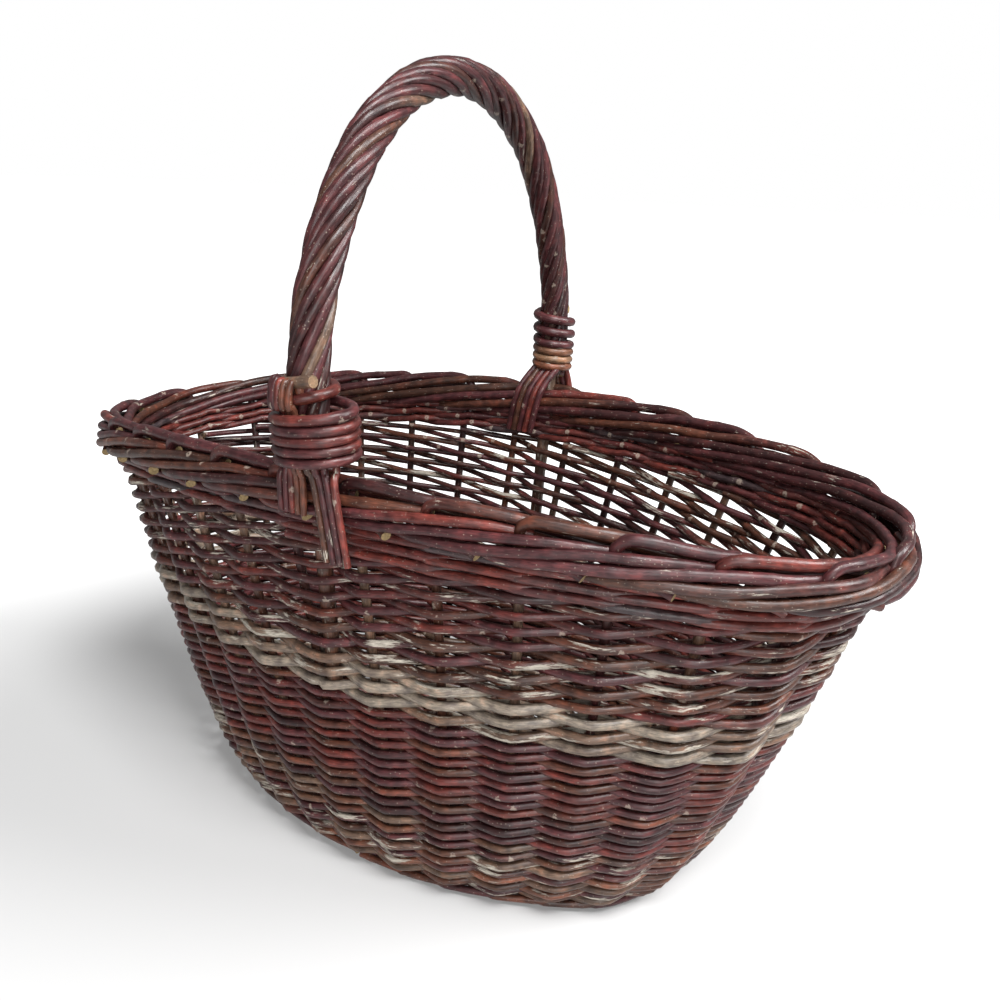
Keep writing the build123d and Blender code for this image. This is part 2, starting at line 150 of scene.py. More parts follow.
def smoothPath(points, step):  # Catmull-Rom through the points, about one vertex for each step
    path = []
    count = len(points)
    for i in range(count - 1):
        p0 = points[max(0, i - 1)]
        p1, p2 = points[i], points[i + 1]
        p3 = points[min(count - 1, i + 2)]
        pieces = max(1, ceil((p2 - p1).length / step))
        for k in range(pieces):
            t = k / pieces
            path.append(0.5 * ((2 * p1) + (p2 - p0) * t + (2 * p0 - 5 * p1 + 4 * p2 - p3) * t * t
                               + (3 * p1 - p0 - 3 * p2 + p3) * t ** 3))
    path.append(points[-1])
    return path


rodShape = {  # lengths in mm
    "knotSwell": 0.1, "knotReach": 2.2, "uneven": 0.04, "unevenLength": 9,
    "shades": (0.82, 1.2), "blendLength": 55, "blendMiddle": 0.5, "blendSwing": 0.75,
    "turnShare": 0.03, "sharpAngle": 50, "tip": 0.92, "peel": 0.35,
}


# each rod has a path and a radius in mm, a colour and another that it drifts to, how much bark is peeled
# off it from 0 to 1, the tip's share of the radius, and, where wanted, slim, cut and turnsTo
def makeRods(name, rods, replaced, sides):
    verts, faces, coords, tints, marks, cuts = [], [], [], [], [], []
    for number, rod in enumerate(rods):
        path = rod["path"]
        radius = rod["radius"]
        tip = rod.get("tip", rodShape["tip"])
        slim = rod.get("slim", [1] * len(path))
        seed = number + len(name) * 131
        rng = random.Random(seed)
        first, other = barkLinear[rod["colour"]], barkLinear[rod.get("other", rod["colour"])]
        shade = rng.uniform(*rodShape["shades"])
        offset = rng.uniform(0, 2000)
        length = 0
        tangent = (path[1] - path[0]).normalized()
        side = tangent.orthogonal().normalized()
        total = sum((b - a).length for a, b in zip(path, path[1:]))
        ringStart = len(verts)
        for i, point in enumerate(path):
            if i:
                length += (point - path[i - 1]).length
            ahead = path[min(i + 1, len(path) - 1)] - path[max(i - 1, 0)]
            tangent = ahead.normalized()
            side = (side - tangent * side.dot(tangent)).normalized()
            up = tangent.cross(side)
            fromKnot = (length + offset + bark["knotStep"] / 2) % bark["knotStep"] - bark["knotStep"] / 2
            knot = rodShape["knotSwell"] * exp(-(fromKnot / rodShape["knotReach"]) ** 2)
            swell = 1 + knot + rodShape["uneven"] * smoothNoise(seed, length / rodShape["unevenLength"])
            size = radius * swell * (1 + (tip - 1) * length / max(total, 1)) * slim[i]
            drift = smoothNoise(seed + 5, length / rodShape["blendLength"])
            blend = min(1, max(0, rodShape["blendMiddle"] + rodShape["blendSwing"] * drift))
            if "turnsTo" in rod:  # the rod's colour changes on the way
                turnAt, turnColour = rod["turnsTo"]
                after = min(1, max(0, (length / total - turnAt) / rodShape["turnShare"]))
                later = barkLinear[turnColour]
                tint = [(a + (b - a) * blend) * (1 - after) + c * after
                        for a, b, c in zip(first[:3], other[:3], later[:3])] + [1]
            else:
                tint = [(a + (b - a) * blend) * shade for a, b in zip(first[:3], other[:3])] + [1]
            for k in range(sides):
                angle = 2 * pi * k / sides
                out = side * cos(angle) + up * sin(angle)
                verts.append((point + out * size) * 0.001)
                coords.append(((length + offset) * 0.001, cos(angle) * radius * 0.001,
                               sin(angle) * radius * 0.001))
                tints.append(tint)
                marks.append(rod.get("peel", rodShape["peel"]))
                cuts.append(0)
        for i in range(len(path) - 1):
            a = ringStart + i * sides
            for k in range(sides):
                n = (k + 1) % sides
                faces.append((a + k, a + n, a + sides + n, a + sides + k))
        for end in (0, len(path) - 1):  # the cut ends, as faces with points of their own
            ring = ringStart + end * sides
            capStart = len(verts)
            for k in range(sides):
                verts.append(verts[ring + k])
                coords.append(coords[ring + k])
                tints.append(tints[ring + k])
                marks.append(0)
                cuts.append(rod.get("cut", 1))
            loop = tuple(range(capStart, capStart + sides))
            faces.append(loop[::-1] if end == 0 else loop)
    mesh = bpy.data.meshes.new(name)
    mesh.from_pydata(verts, [], faces)
    for attribute, kind, values in (("rodCoord", "FLOAT_VECTOR", coords),
                                    ("rodTint", "FLOAT_COLOR", tints)):
        layer = mesh.attributes.new(attribute, kind, "POINT")
        layer.data.foreach_set("vector" if kind == "FLOAT_VECTOR" else "color",
                               [c for v in values for c in v])
    for attribute, values in (("rodPeel", marks), ("rodCut", cuts)):
        mesh.attributes.new(attribute, "FLOAT", "POINT").data.foreach_set("value",
                                                                          [float(v) for v in values])
    piece = bpy.data.objects.new(name, mesh)
    bpy.context.scene.collection.objects.link(piece)
    bpy.context.view_layer.objects.active = piece
    piece.select_set(True)
    bpy.ops.object.shade_smooth_by_angle(angle=radians(rodShape["sharpAngle"]))
    piece.select_set(False)
    piece.data.materials.append(willowBark)
    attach(piece, "root")
    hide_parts(*replaced)
    print(name, len(rods), "rods,", len(mesh.polygons), "faces")


# dried bark-on willow: a thin waxy bark with a satin sheen, fine lengthwise wrinkles with painted shade in
# their grooves, a pale leaf scar round a dark bud at about half the knots, pores, and grey streaks where
# the bark has peeled

bark = {
    "knotStep": 33, "scarColour": "#a99a8c", "peelColour": "#b0a89b",
    "woodLow": "#72603f", "woodHigh": "#9a835d",
    # a scar is a little broader than long and ragged by up to 2.2 mm, and its colour ramp is 4 mm long
    "scarSquash": 0.8, "scarRagged": 0.0022, "scarPerMetre": 250,
    "peelGain": 0.22, "peelStart": -0.13, "spotHeight": 0.6,
    # pattern cells in a metre: 0.7 mm wrinkles, 6 mm clouds, 2.2 mm between pores, 3.3 mm peeled streaks,
    # 1.1 mm raggedness and wood grain, and 63 mm for which knots have a scar
    "perMetre": {"wrinkle": 1400, "cloud": 160, "pore": 450, "peel": 300, "ragged": 900, "grain": 900,
                 "budding": 16},
    "drawnOut": 0.16,
}


def makeBark():
    material = bpy.data.materials.new("bark_on_willow_dried")
    material.use_nodes = True
    tree = material.node_tree
    tree.nodes.clear()
    colourMix = {"data_type": "RGBA"}
    multiply = {"data_type": "RGBA", "blend_type": "MULTIPLY"}
    cells = bark["perMetre"]
    rodCoord = addNode(tree, "ShaderNodeAttribute", {"attribute_name": "rodCoord"}).outputs["Vector"]
    rodTint = addNode(tree, "ShaderNodeAttribute", {"attribute_name": "rodTint"}).outputs["Color"]
    rodPeel = addNode(tree, "ShaderNodeAttribute", {"attribute_name": "rodPeel"}).outputs["Fac"]
    rodCut = addNode(tree, "ShaderNodeAttribute", {"attribute_name": "rodCut"}).outputs["Fac"]
    drawnOut = addNode(tree, "ShaderNodeMapping", None, {"Scale": (bark["drawnOut"], 1, 1)},
                       {"Vector": rodCoord}).outputs["Vector"]
    # fine wrinkles, drawn out along the rod to about six times their width
    wrinkle = addNode(tree, "ShaderNodeTexNoise", None,
                      {"Scale": cells["wrinkle"], "Detail": 3, "Roughness": 0.6},
                      {"Vector": drawnOut}).outputs["Fac"]
    # cloudy change of the bark's colour
    cloud = addNode(tree, "ShaderNodeTexNoise", None, {"Scale": cells["cloud"], "Detail": 3},
                    {"Vector": rodCoord}).outputs["Fac"]
    clouding = addNode(tree, "ShaderNodeValToRGB", None, None, {"Fac": cloud},
                       [(0.3, [0.5, 0.48, 0.52, 1]), (0.74, [1.75, 1.45, 1.35, 1]),
                        (0.54, 1)]).outputs["Color"]
    tinted = addNode(tree, "ShaderNodeMix", multiply, {0: 1},
                     {6: rodTint, 7: clouding}).outputs[2]
    # the colour follows the wrinkles' height: partly lengthwise colour streaks, partly painted shade in the
    # grooves and painted light on the ridges
    streakAndGrooveShade = addNode(tree, "ShaderNodeValToRGB", None, None, {"Fac": wrinkle},
                     [(0.35, 0.42), (0.62, 1.2)]).outputs["Color"]
    streakedWithGrooveShade = addNode(tree, "ShaderNodeMix", multiply, {0: 0.75},
                       {6: tinted, 7: streakAndGrooveShade}).outputs[2]
    # the knots' leaf scars: a pale ring of 3 mm with a dark bud in it, on one side of the rod,
    # and left out where the slow noise is low, which is at about half the knots
    place = addNode(tree, "ShaderNodeSeparateXYZ", None, None, {"Vector": rodCoord})
    toKnot = addNode(tree, "ShaderNodeMath", {"operation": "PINGPONG"}, {1: bark["knotStep"] * 0.0005},
                     {0: place.outputs["X"]}).outputs["Value"]
    aside = addNode(tree, "ShaderNodeMath", {"operation": "MULTIPLY"}, {1: bark["scarSquash"]},
                    {0: place.outputs["Z"]}).outputs["Value"]
    fromScar = addNode(tree, "ShaderNodeCombineXYZ", None, None,
                       {"X": toKnot, "Y": aside}).outputs["Vector"]
    scarReach = addNode(tree, "ShaderNodeVectorMath", {"operation": "LENGTH"}, None,
                        {0: fromScar}).outputs["Value"]
    behind = addNode(tree, "ShaderNodeMath", {"operation": "LESS_THAN"}, {1: 0},
                     {0: place.outputs["Y"]}).outputs["Value"]
    budding = addNode(tree, "ShaderNodeTexNoise", None, {"Scale": cells["budding"], "Detail": 0},
                      {"Vector": rodCoord}).outputs["Fac"]
    budless = addNode(tree, "ShaderNodeMath", {"operation": "LESS_THAN"}, {1: 0.5},
                      {0: budding}).outputs["Value"]
    hidden = addNode(tree, "ShaderNodeMath", {"operation": "MAXIMUM"}, None,
                     {0: behind, 1: budless}).outputs["Value"]
    ragged = addNode(tree, "ShaderNodeTexNoise", None, {"Scale": cells["ragged"], "Detail": 2},
                     {"Vector": rodCoord}).outputs["Fac"]
    raggedReach = addNode(tree, "ShaderNodeMath", {"operation": "MULTIPLY_ADD"},
                          {1: bark["scarRagged"]}, {0: ragged, 2: scarReach}).outputs["Value"]
    scarPlace = addNode(tree, "ShaderNodeMath", {"operation": "MULTIPLY_ADD"}, {1: 1},
                        {0: hidden, 2: raggedReach}).outputs["Value"]
    scarScale = addNode(tree, "ShaderNodeMath", {"operation": "MULTIPLY"}, {1: bark["scarPerMetre"]},
                        {0: scarPlace}).outputs["Value"]
    scar = addNode(tree, "ShaderNodeValToRGB", None, None, {"Fac": scarScale},
                   [(0.3, 0.05), (0.42, 0.65), (0.62, 0.5), (0.68, 0)]).outputs["Color"]
    # pores: pale dots of about 0.6 mm, stronger where the bark is lighter
    pore = addNode(tree, "ShaderNodeTexVoronoi", None, {"Scale": cells["pore"]},
                   {"Vector": rodCoord}).outputs["Distance"]
    poreDot = addNode(tree, "ShaderNodeValToRGB", None, None, {"Fac": pore},
                      [(0.1, 0.45), (0.17, 0)]).outputs["Color"]
    poreHere = addNode(tree, "ShaderNodeMix", multiply, {0: 1},
                       {6: poreDot, 7: clouding}).outputs[2]
    spots = addNode(tree, "ShaderNodeMix", {"data_type": "RGBA", "blend_type": "LIGHTEN"}, {0: 1},
                    {6: scar, 7: poreHere}).outputs[2]
    spotted = addNode(tree, "ShaderNodeMix", colourMix, {7: hexToLinear(bark["scarColour"])},
                      {0: spots, 6: streakedWithGrooveShade}).outputs[2]
    # ragged streaks of peeled bark, about 20 mm long and 3 mm wide
    peel = addNode(tree, "ShaderNodeTexNoise", None,
                   {"Scale": cells["peel"], "Detail": 5, "Roughness": 0.7},
                   {"Vector": drawnOut}).outputs["Fac"]
    peelLevel = addNode(tree, "ShaderNodeMath", {"operation": "MULTIPLY_ADD"},
                        {1: bark["peelGain"], 2: bark["peelStart"]}, {0: rodPeel}).outputs["Value"]
    peelSum = addNode(tree, "ShaderNodeMath", {"operation": "ADD"}, None,
                      {0: peel, 1: peelLevel}).outputs["Value"]
    peelEdge = addNode(tree, "ShaderNodeValToRGB", None, None, {"Fac": peelSum},
                       [(0.6, 0), (0.65, 1)]).outputs["Color"]
    # the peeled bark gets the same streaks, with their painted shade in the wrinkles' grooves
    peelColourWithGrooveShade = addNode(tree, "ShaderNodeMix", multiply,
                        {0: 0.8, 6: hexToLinear(bark["peelColour"])}, {7: streakAndGrooveShade}).outputs[2]
    peeled = addNode(tree, "ShaderNodeMix", colourMix, None,
                     {0: peelEdge, 6: spotted, 7: peelColourWithGrooveShade}).outputs[2]
    # cut ends show the pale wood
    grain = addNode(tree, "ShaderNodeTexNoise", None, {"Scale": cells["grain"], "Detail": 2},
                    {"Vector": rodCoord}).outputs["Fac"]
    wood = addNode(tree, "ShaderNodeValToRGB", None, None, {"Fac": grain},
                   [(0.3, hexToLinear(bark["woodLow"])),
                    (0.7, hexToLinear(bark["woodHigh"]))]).outputs["Color"]
    colour = addNode(tree, "ShaderNodeMix", colourMix, None, {0: rodCut, 6: peeled, 7: wood}).outputs[2]
    satin = addNode(tree, "ShaderNodeMapRange", None, {"To Min": 0.25, "To Max": 0.5},
                    {"Value": wrinkle}).outputs["Result"]
    dull = addNode(tree, "ShaderNodeMath", {"operation": "MAXIMUM"}, None,
                   {0: peelEdge, 1: rodCut}).outputs["Value"]
    rough = addNode(tree, "ShaderNodeMix", {"data_type": "FLOAT"}, {3: 0.8}, {0: dull, 2: satin}).outputs[0]
    height = addNode(tree, "ShaderNodeMath", {"operation": "MULTIPLY_ADD"}, {1: bark["spotHeight"]},
                     {0: spots, 2: wrinkle}).outputs["Value"]
    bump = addNode(tree, "ShaderNodeBump", None, {"Strength": 0.5, "Distance": 0.0003},
                   {"Height": height}).outputs["Normal"]
    shader = addNode(tree, "ShaderNodeBsdfPrincipled", None, {"IOR": 1.47, "Metallic": 0},
                     {"Base Color": colour, "Roughness": rough, "Normal": bump})
    addNode(tree, "ShaderNodeOutputMaterial", None, None, {"Surface": shader.outputs["BSDF"]})
    return material


willowBark = makeBark()
print("bark material made")

# the wall's woven bands

weave = {
    "stepsPerStake": 8, "bend": 0.97, "wander": 0.35, "wanderRate": 1.3, "jitterRate": 1.1,
    "dipLead": 0.2, "thickness": (0.88, 1.09), "peelSpread": (0.3, 1.6), "cut": 0.4,
    "coreFrom": 0.52, "coreReach": 1.6, "coreBulge": 0.3, "coreWidth": 0.22,  # where the handle's core is
    "farRise": 1.5, "farStart": 0.3, "slimMiddle": -75, "slimReach": 120,
    "bands": [  # shares of the rim's height, courses, weaver radius, dip of the stroke in front, colours
        {"name": "root_band", "low": 0.035, "high": 0.22, "courses": 7, "radius": 2.25, "dip": 0.5,
         "jitter": 0.6, "farSlim": -0.22,
         "colours": ["greyBrown", "brown", "umber", "greyBrown", "plum", "brown", "rust"],
         "slot": "bark_willow_brown", "peel": 0.6},
        {"name": "lower_weave", "low": 0.22, "high": 0.5, "courses": 11, "radius": 2.2, "dip": 0.5,
         "jitter": 0.45, "farSlim": -0.25,
         "colours": ["plum", "red", "plum", "brown", "plum", "umber", "red", "dark"],
         "slot": "bark_willow_dark", "peel": 0.3},
        {"name": "grey_band", "low": 0.5, "high": 0.6, "courses": 3, "radius": 2.8, "dip": 0.3,
         "jitter": 0.6, "farSlim": 0.05,
         "colours": ["grey", "grey", "greyBrown"], "slot": "bark_willow_grey", "peel": 0.75},
        {"name": "upper_weave", "low": 0.6, "high": 0.848, "courses": 7, "radius": 2.38, "dip": 0.35,
         "jitter": 0.75, "farSlim": 0.17,
         "colours": ["plum", "dark", "plum", "brown", "plum", "red", "umber"],
         "slot": "bark_willow_dark", "peel": 0.62},
    ],
}


def weavePhase(place, share):  # the handle's core shares a stroke with the stake beside it
    before = floor(place / halfRound) * halfRound
    part = place - before
    core = -basket["stakeLean"] * share
    if share > weave["coreFrom"] and part < 1:
        return before + (0 if part < core else (part - core) / (1 - core)), part, core
    return place, part, core


def weaverPath(band, start, seed):
    span = band["high"] - band["low"]
    stakes = 2 * band["courses"]
    steps = weave["stepsPerStake"]
    reach = band["radius"] + basket["stakeRadius"]
    path = []
    for i in range(stakes * steps + 1):
        t = i / steps
        share = band["low"] + span * t / stakes
        place = start + t
        phase, part, core = weavePhase(place, share)
        wave = -cos(pi * (phase - start))
        # straight between the stakes and bent at them
        side = asin(weave["bend"] * wave) / asin(weave["bend"])
        lift = band["dip"] * cos(pi * (phase - start + weave["dipLead"]))
        lift += band["jitter"] * smoothNoise(seed, t * weave["jitterRate"])
        if share > weave["coreFrom"] and place % halfRound < weave["coreReach"]:
            side *= 1 + weave["coreBulge"] * exp(-((part - core) / weave["coreWidth"]) ** 2)
        grow = side * reach + weave["wander"] * smoothNoise(seed + 3, t * weave["wanderRate"])
        path.append(wallPoint(place, share, grow, lift))
    return path


for band in weave["bands"]:
    rods = []
    rng = random.Random(len(band["name"]))
    for k in range(stakeCount):
        colour = rng.choice(band["colours"])
        path = weaverPath(band, k, 100 * k + len(band["name"]))
        slim = []
        for point in path:  # the far side's rods are thinner or thicker, the thin ones left of its middle
            far = min(1, max(0, point.y * weave["farRise"] / basket["rimHalfWidth"] + weave["farStart"]))
            fromMiddle = (point.x - weave["slimMiddle"]) / weave["slimReach"]
            spread = exp(-fromMiddle ** 2) if band["farSlim"] > 0 else 1
            slim.append(1 - band["farSlim"] * far * spread)
        rods.append({"path": path, "slim": slim, "colour": colour,
                     "radius": band["radius"] * rng.uniform(*weave["thickness"]),
                     "other": rng.choice(band["colours"]),
                     "peel": band["peel"] * rng.uniform(*weave["peelSpread"]), "cut": weave["cut"]})
    makeRods(band["name"] + "_rods", rods, (band["name"],), 8)

# wales of three rods: each passes in front of two stakes and behind one

wales = {
    "top_wale": {"low": 0.85, "high": 0.918, "turns": 3, "radius": 2.3, "slot": "bark_willow_dark",
                 "ground": [],
                 "colours": ["plum", "red", "slate", "plum", "umber"], "rise": 2.0},
    "foot_wale": {"low": 0.0205, "high": 0.036, "turns": 1, "radius": 2.0, "slot": "bark_willow_brown",
                  # rounds over and under the lying stakes, between the base and the wall
                  "ground": [-1.2, -5.2],
                  "colours": ["plum", "brown", "umber"], "rise": 1.8},
}
waleStroke = {"depth": 1.35, "forward": 0.35, "uneven": 0.4, "peel": 0.4}
for name, wale in wales.items():
    rods = []
    reach = wale["radius"] + basket["stakeRadius"]
    steps = weave["stepsPerStake"]
    rng = random.Random(len(name))
    for j in range(3):
        path = []
        total = wale["turns"] * stakeCount
        for i in range(total * steps + 1):
            t = i / steps
            share = wale["low"] + (wale["high"] - wale["low"]) * t / total
            phase = (t + j) % 3  # behind near 0, in front near 1 and 2
            side = -cos(2 * pi * phase / 3) * waleStroke["depth"] + waleStroke["forward"]
            side = max(-1, min(1, side))
            # falls while it goes behind, climbs in front
            rise = (phase - 1.5) / 1.5 if phase > 0.5 else (0.5 - phase) / 0.5 - 0.67
            lift = wale["rise"] * rise + waleStroke["uneven"] * smoothNoise(j + 40, t)
            path.append(wallPoint(t, share, side * reach, lift))
        rods.append({"path": path, "radius": wale["radius"], "colour": rng.choice(wale["colours"]),
                     "other": rng.choice(wale["colours"]), "peel": waleStroke["peel"]})
    for number, grow in enumerate(wale["ground"]):
        path = []
        for i in range(stakeCount * steps + 1):
            point = wallPoint(i / steps, 0, grow)
            point.z = middleZ + cos(pi * (i / steps + number)) * reach
            path.append(point)
        rods.append({"path": path, "radius": wale["radius"], "colour": rng.choice(wale["colours"]),
                     "other": rng.choice(wale["colours"]), "peel": waleStroke["peel"]})
    makeRods(name + "_rods", rods, (name,), 8)

# stakes: from beside the base's sticks out to the corner and up to the border

stake = {
    "start": -14, "corner": -1, "shares": (0.06, 0.11, 0.2, 0.4, 0.6, 0.8, 0.93),
    "pathStep": 4, "peel": 0.5, "tip": 0.95,
    "colours": ["umber", "greyBrown", "brown", "umber"], "others": ["brown", "dark", "greyBrown"],
}
stakes = []
for k in range(stakeCount):
    inner = wallPoint(k, 0, stake["start"])
    foot = wallPoint(k, 0, stake["corner"])
    inner.z = foot.z = basket["baseMiddle"]
    route = [inner, foot] + [wallPoint(k, share) for share in stake["shares"]]
    rng = random.Random(k)
    stakes.append({"path": smoothPath(route, stake["pathStep"]), "radius": basket["stakeRadius"],
                   "colour": rng.choice(stake["colours"]), "other": rng.choice(stake["others"]),
                   "peel": stake["peel"], "tip": stake["tip"]})
makeRods("side_stake_rods", stakes, ("side_stakes",), 8)
print("wall done")

# the border: each stake's top, bent down to the right, over the rim and under the next ones

border = {
    "radius": 2.95, "slide": 0.06, "cutSlide": 3, "growJitter": 0.4, "dropJitter": 0.6,
    "pathStep": 2.5, "thickness": (0.88, 1.05), "peel": 0.4, "tip": 0.88,
    # stakes passed, offset from the stake line, height below the rim: up behind the rows, bent over to the
    # right, along the top, down inside, out between two stakes, along the outer face and in under the tops
    "route": [(0, 0.5, -26), (0, 3, -13), (0.04, 4.6, -6), (0.16, 5.2, -2.8), (0.4, 5, -2), (0.9, 3, -3.2),
              (1.3, -0.5, -4.8), (1.7, -4.4, -7), (2.4, -7.4, -10.2), (3.2, -8.2, -14.4),
              (3.9, -7.6, -18.6), (4.3, -5, -21.6), (4.6, 0.4, -22.2), (4.95, 6.4, -21.2),
              (5.5, 8.8, -18.8), (6.1, 9, -15.4), (6.7, 8.8, -12), (7.3, 8, -9), (7.7, 5.4, -8.8),
              (8.1, 1.5, -9.6)],
    "colours": ["plum", "red", "plum", "brown", "dark", "umber", "dark", "plum"],
    # the cut ends under the border's outer rows
    "cutRoute": [(0.15, 1.5, -20), (0.42, 4.2, -20.4), (0.58, 6.4, -21.2), (0.68, 8.2, -22.6)],
}
borderRods = []
for k in range(stakeCount):
    rng = random.Random(k * 3 + 1)
    slide = rng.uniform(-border["slide"], border["slide"])
    for route, slid in ((border["route"], 1), (border["cutRoute"], border["cutSlide"])):
        points = []
        for passed, grow, drop in route:
            growHere = grow + rng.uniform(-border["growJitter"], border["growJitter"])
            point = wallPoint(k + passed + slide * slid, 1, growHere)
            point.z += drop + rng.uniform(-border["dropJitter"], border["dropJitter"])
            points.append(point)
        borderRods.append({"path": smoothPath(points, border["pathStep"]),
                           "radius": border["radius"] * rng.uniform(*border["thickness"]),
                           "colour": rng.choice(border["colours"]), "other": rng.choice(border["colours"]),
                           "peel": border["peel"], "tip": border["tip"]})
makeRods("border_rods", borderRods, ("border",), 10)
print("border done")

# the handle: a thick core and the rods roped round it

handle = {
    "coreRadius": 4, "crownRadius": 110, "crownHalfAngle": 53.5, "legRadius": 178, "legLean": 7,
    "rise": 178.8, "strands": 10, "strandRadius": 2.55, "strandCircle": 7.0, "twist": -120,
    "nearSwell": 1.06, "farSwell": 0.96,
    "coreOutset": 1, "entryShare": 0.8, "depthShare": 0.52, "steps": 130, "coreSteps": 60,
    "turnWander": 0.12, "turnWanderLength": 40, "circleWander": 0.3, "circleWanderLength": 30,
    "thickness": (0.9, 1.08), "peel": 0.4, "tip": 0.93, "coreStep": 6, "corePeel": 0.6,
    "colours": ["dark", "plum", "dark", "umber", "plum", "greyBrown", "dark", "plum", "dark", "umber"],
}
crownTurn = radians(handle["crownHalfAngle"])
legTurn = pi / 2 + radians(handle["legLean"])
crownCentre = rimHeight + handle["rise"] - handle["crownRadius"]
legCentreY = (handle["legRadius"] - handle["crownRadius"]) * sin(crownTurn)
legCentreZ = crownCentre - (handle["legRadius"] - handle["crownRadius"]) * cos(crownTurn)
legEndY = handle["legRadius"] * sin(legTurn) - legCentreY
legEndZ = legCentreZ + handle["legRadius"] * cos(legTurn)
crownLength = handle["crownRadius"] * crownTurn
legLength = handle["legRadius"] * (legTurn - crownTurn)


def legAxis(z):
    if z < legEndZ:
        return legEndY - (legEndZ - z) * tan(radians(handle["legLean"]))
    return sqrt(handle["legRadius"] ** 2 - (legCentreZ - z) ** 2) - legCentreY


def bowPoint(along):  # along the bow from its top, minus towards the near side
    side = -1 if along < 0 else 1
    run = abs(along)
    if run < crownLength:
        turn = run / handle["crownRadius"]
        y = handle["crownRadius"] * sin(turn)
        z = crownCentre + handle["crownRadius"] * cos(turn)
    else:
        turn = crownTurn + (run - crownLength) / handle["legRadius"]
        y = handle["legRadius"] * sin(turn) - legCentreY
        z = legCentreZ + handle["legRadius"] * cos(turn)
    tangent = Vector((0, cos(turn), -sin(turn) * side))
    return Vector((0, side * y, z)), tangent


bowHalf = crownLength + legLength
strands = []
steps = handle["steps"]
for k in range(handle["strands"]):
    path = []
    for i in range(steps + 1):
        along = -bowHalf + 2 * bowHalf * i / steps
        middle, tangent = bowPoint(along)
        normal = Vector((1, 0, 0)).cross(tangent).normalized()
        part = i / steps
        swell = handle["nearSwell"] + (handle["farSwell"] - handle["nearSwell"]) * part
        angle = 2 * pi * (k / handle["strands"] + along / handle["twist"])
        angle += handle["turnWander"] * smoothNoise(k + 60, along / handle["turnWanderLength"])
        circle = handle["strandCircle"] * swell
        circle += handle["circleWander"] * smoothNoise(k + 80, along / handle["circleWanderLength"])
        path.append(middle + (Vector((1, 0, 0)) * cos(angle) + normal * sin(angle)) * circle)
    thickness = random.Random(k).uniform(*handle["thickness"])
    strands.append({"path": path, "radius": handle["strandRadius"] * thickness,
                    "colour": handle["colours"][k], "other": "dark" if k % 2 else "plum",
                    "peel": handle["peel"], "tip": handle["tip"]})
makeRods("handle_roping_rods", strands, ("handle_roping",), 10)

entryZ = handle["entryShare"] * rimHeight
entryY = legEndY - (legEndZ - entryZ) * tan(radians(handle["legLean"]))
coreEndY = halfWidth(handle["depthShare"]) + handle["coreOutset"]
corePath = [Vector((0, -coreEndY, handle["depthShare"] * rimHeight)), Vector((0, -entryY, entryZ))]
coreSteps = handle["coreSteps"]
corePath += [bowPoint(-bowHalf + 2 * bowHalf * i / coreSteps)[0] for i in range(coreSteps + 1)]
corePath += [Vector((0, entryY, entryZ)), Vector((0, coreEndY, handle["depthShare"] * rimHeight))]
coreRod = {"path": smoothPath(corePath, handle["coreStep"]), "radius": handle["coreRadius"],
           "colour": "umber", "other": "greyBrown", "peel": handle["corePeel"], "tip": 1}
makeRods("handle_core_rod", [coreRod], ("handle_core",), 12)
print("handle done")

# collars: one rod wound round the handle's foot on each side

collar = {
    "rod": 4.2, "clearance": 0.4, "ropeReach": 9.5, "stepsPerTurn": 28, "pitch": 4.9,
    "nearHalfX": 20.2, "nearHalfY": 15.1, "nearX": 5, "nearOutset": 1.8,
    "nearLift": 4.4, "nearBound": 4.5, "nearUpper": 2, "nearUpperPitch": 8, "stub": 15,
    "tilt": 0.08, "wobble": 0.3, "easeFrom": 0.25, "easeOver": 0.5,
    "farLift": 12, "farClose": 3.5, "farOpen": 2.5, "farOpenPitch": 8.2, "farTight": 0.7,
    "peel": 0.3, "near": {"radius": 2.3, "tip": 1.16, "cut": 0.3, "turnsTo": (0.93, "greyBrown")},
    "far": {"radius": 2.4, "tip": 1.25, "turnsTo": (0.42, "plum")},
}
windingRadius = collar["ropeReach"] + collar["clearance"] + collar["rod"] / 2


def climb(turn, closeTurns, openPitch):
    return collar["pitch"] * turn + (openPitch - collar["pitch"]) * max(0, turn - closeTurns)


def nearWinding(turn):
    z = rimHeight + collar["nearLift"] + climb(turn, collar["nearBound"], collar["nearUpperPitch"])
    free = min(1, max(0, (turn - collar["nearBound"] - collar["easeFrom"]) / collar["easeOver"]))
    eased = free * free * (3 - 2 * free)
    halfX = collar["nearHalfX"] + (windingRadius - collar["nearHalfX"]) * eased
    halfY = collar["nearHalfY"] + (windingRadius - collar["nearHalfY"]) * eased
    middleX = collar["nearX"] * (1 - eased)
    middleY = -legAxis(z) - collar["nearOutset"] * (1 - eased)
    angle = 2 * pi * turn
    z += -collar["tilt"] * halfX * sin(angle) + collar["wobble"] * smoothNoise(5, turn * 2)
    return Vector((middleX - halfX * sin(angle), middleY + halfY * cos(angle), z))


def farWinding(turn):
    z = rimHeight + collar["farLift"] + climb(turn, collar["farClose"], collar["farOpenPitch"])
    angle = 2 * pi * turn
    radius = windingRadius - collar["farTight"]
    wobble = collar["wobble"] * smoothNoise(9, turn * 2)
    return Vector((radius * sin(angle), legAxis(z) + radius * cos(angle), z + wobble))


def windRod(place, turns, firstRun, lastRun):
    steps = collar["stepsPerTurn"]
    path = [place(number / steps) for number in range(round(steps * turns) + 1)]
    startWay = (path[0] - path[1]).normalized()
    endWay = (path[-1] - path[-2]).normalized()
    return [path[0] + startWay * firstRun] + path + [path[-1] + endWay * lastRun]


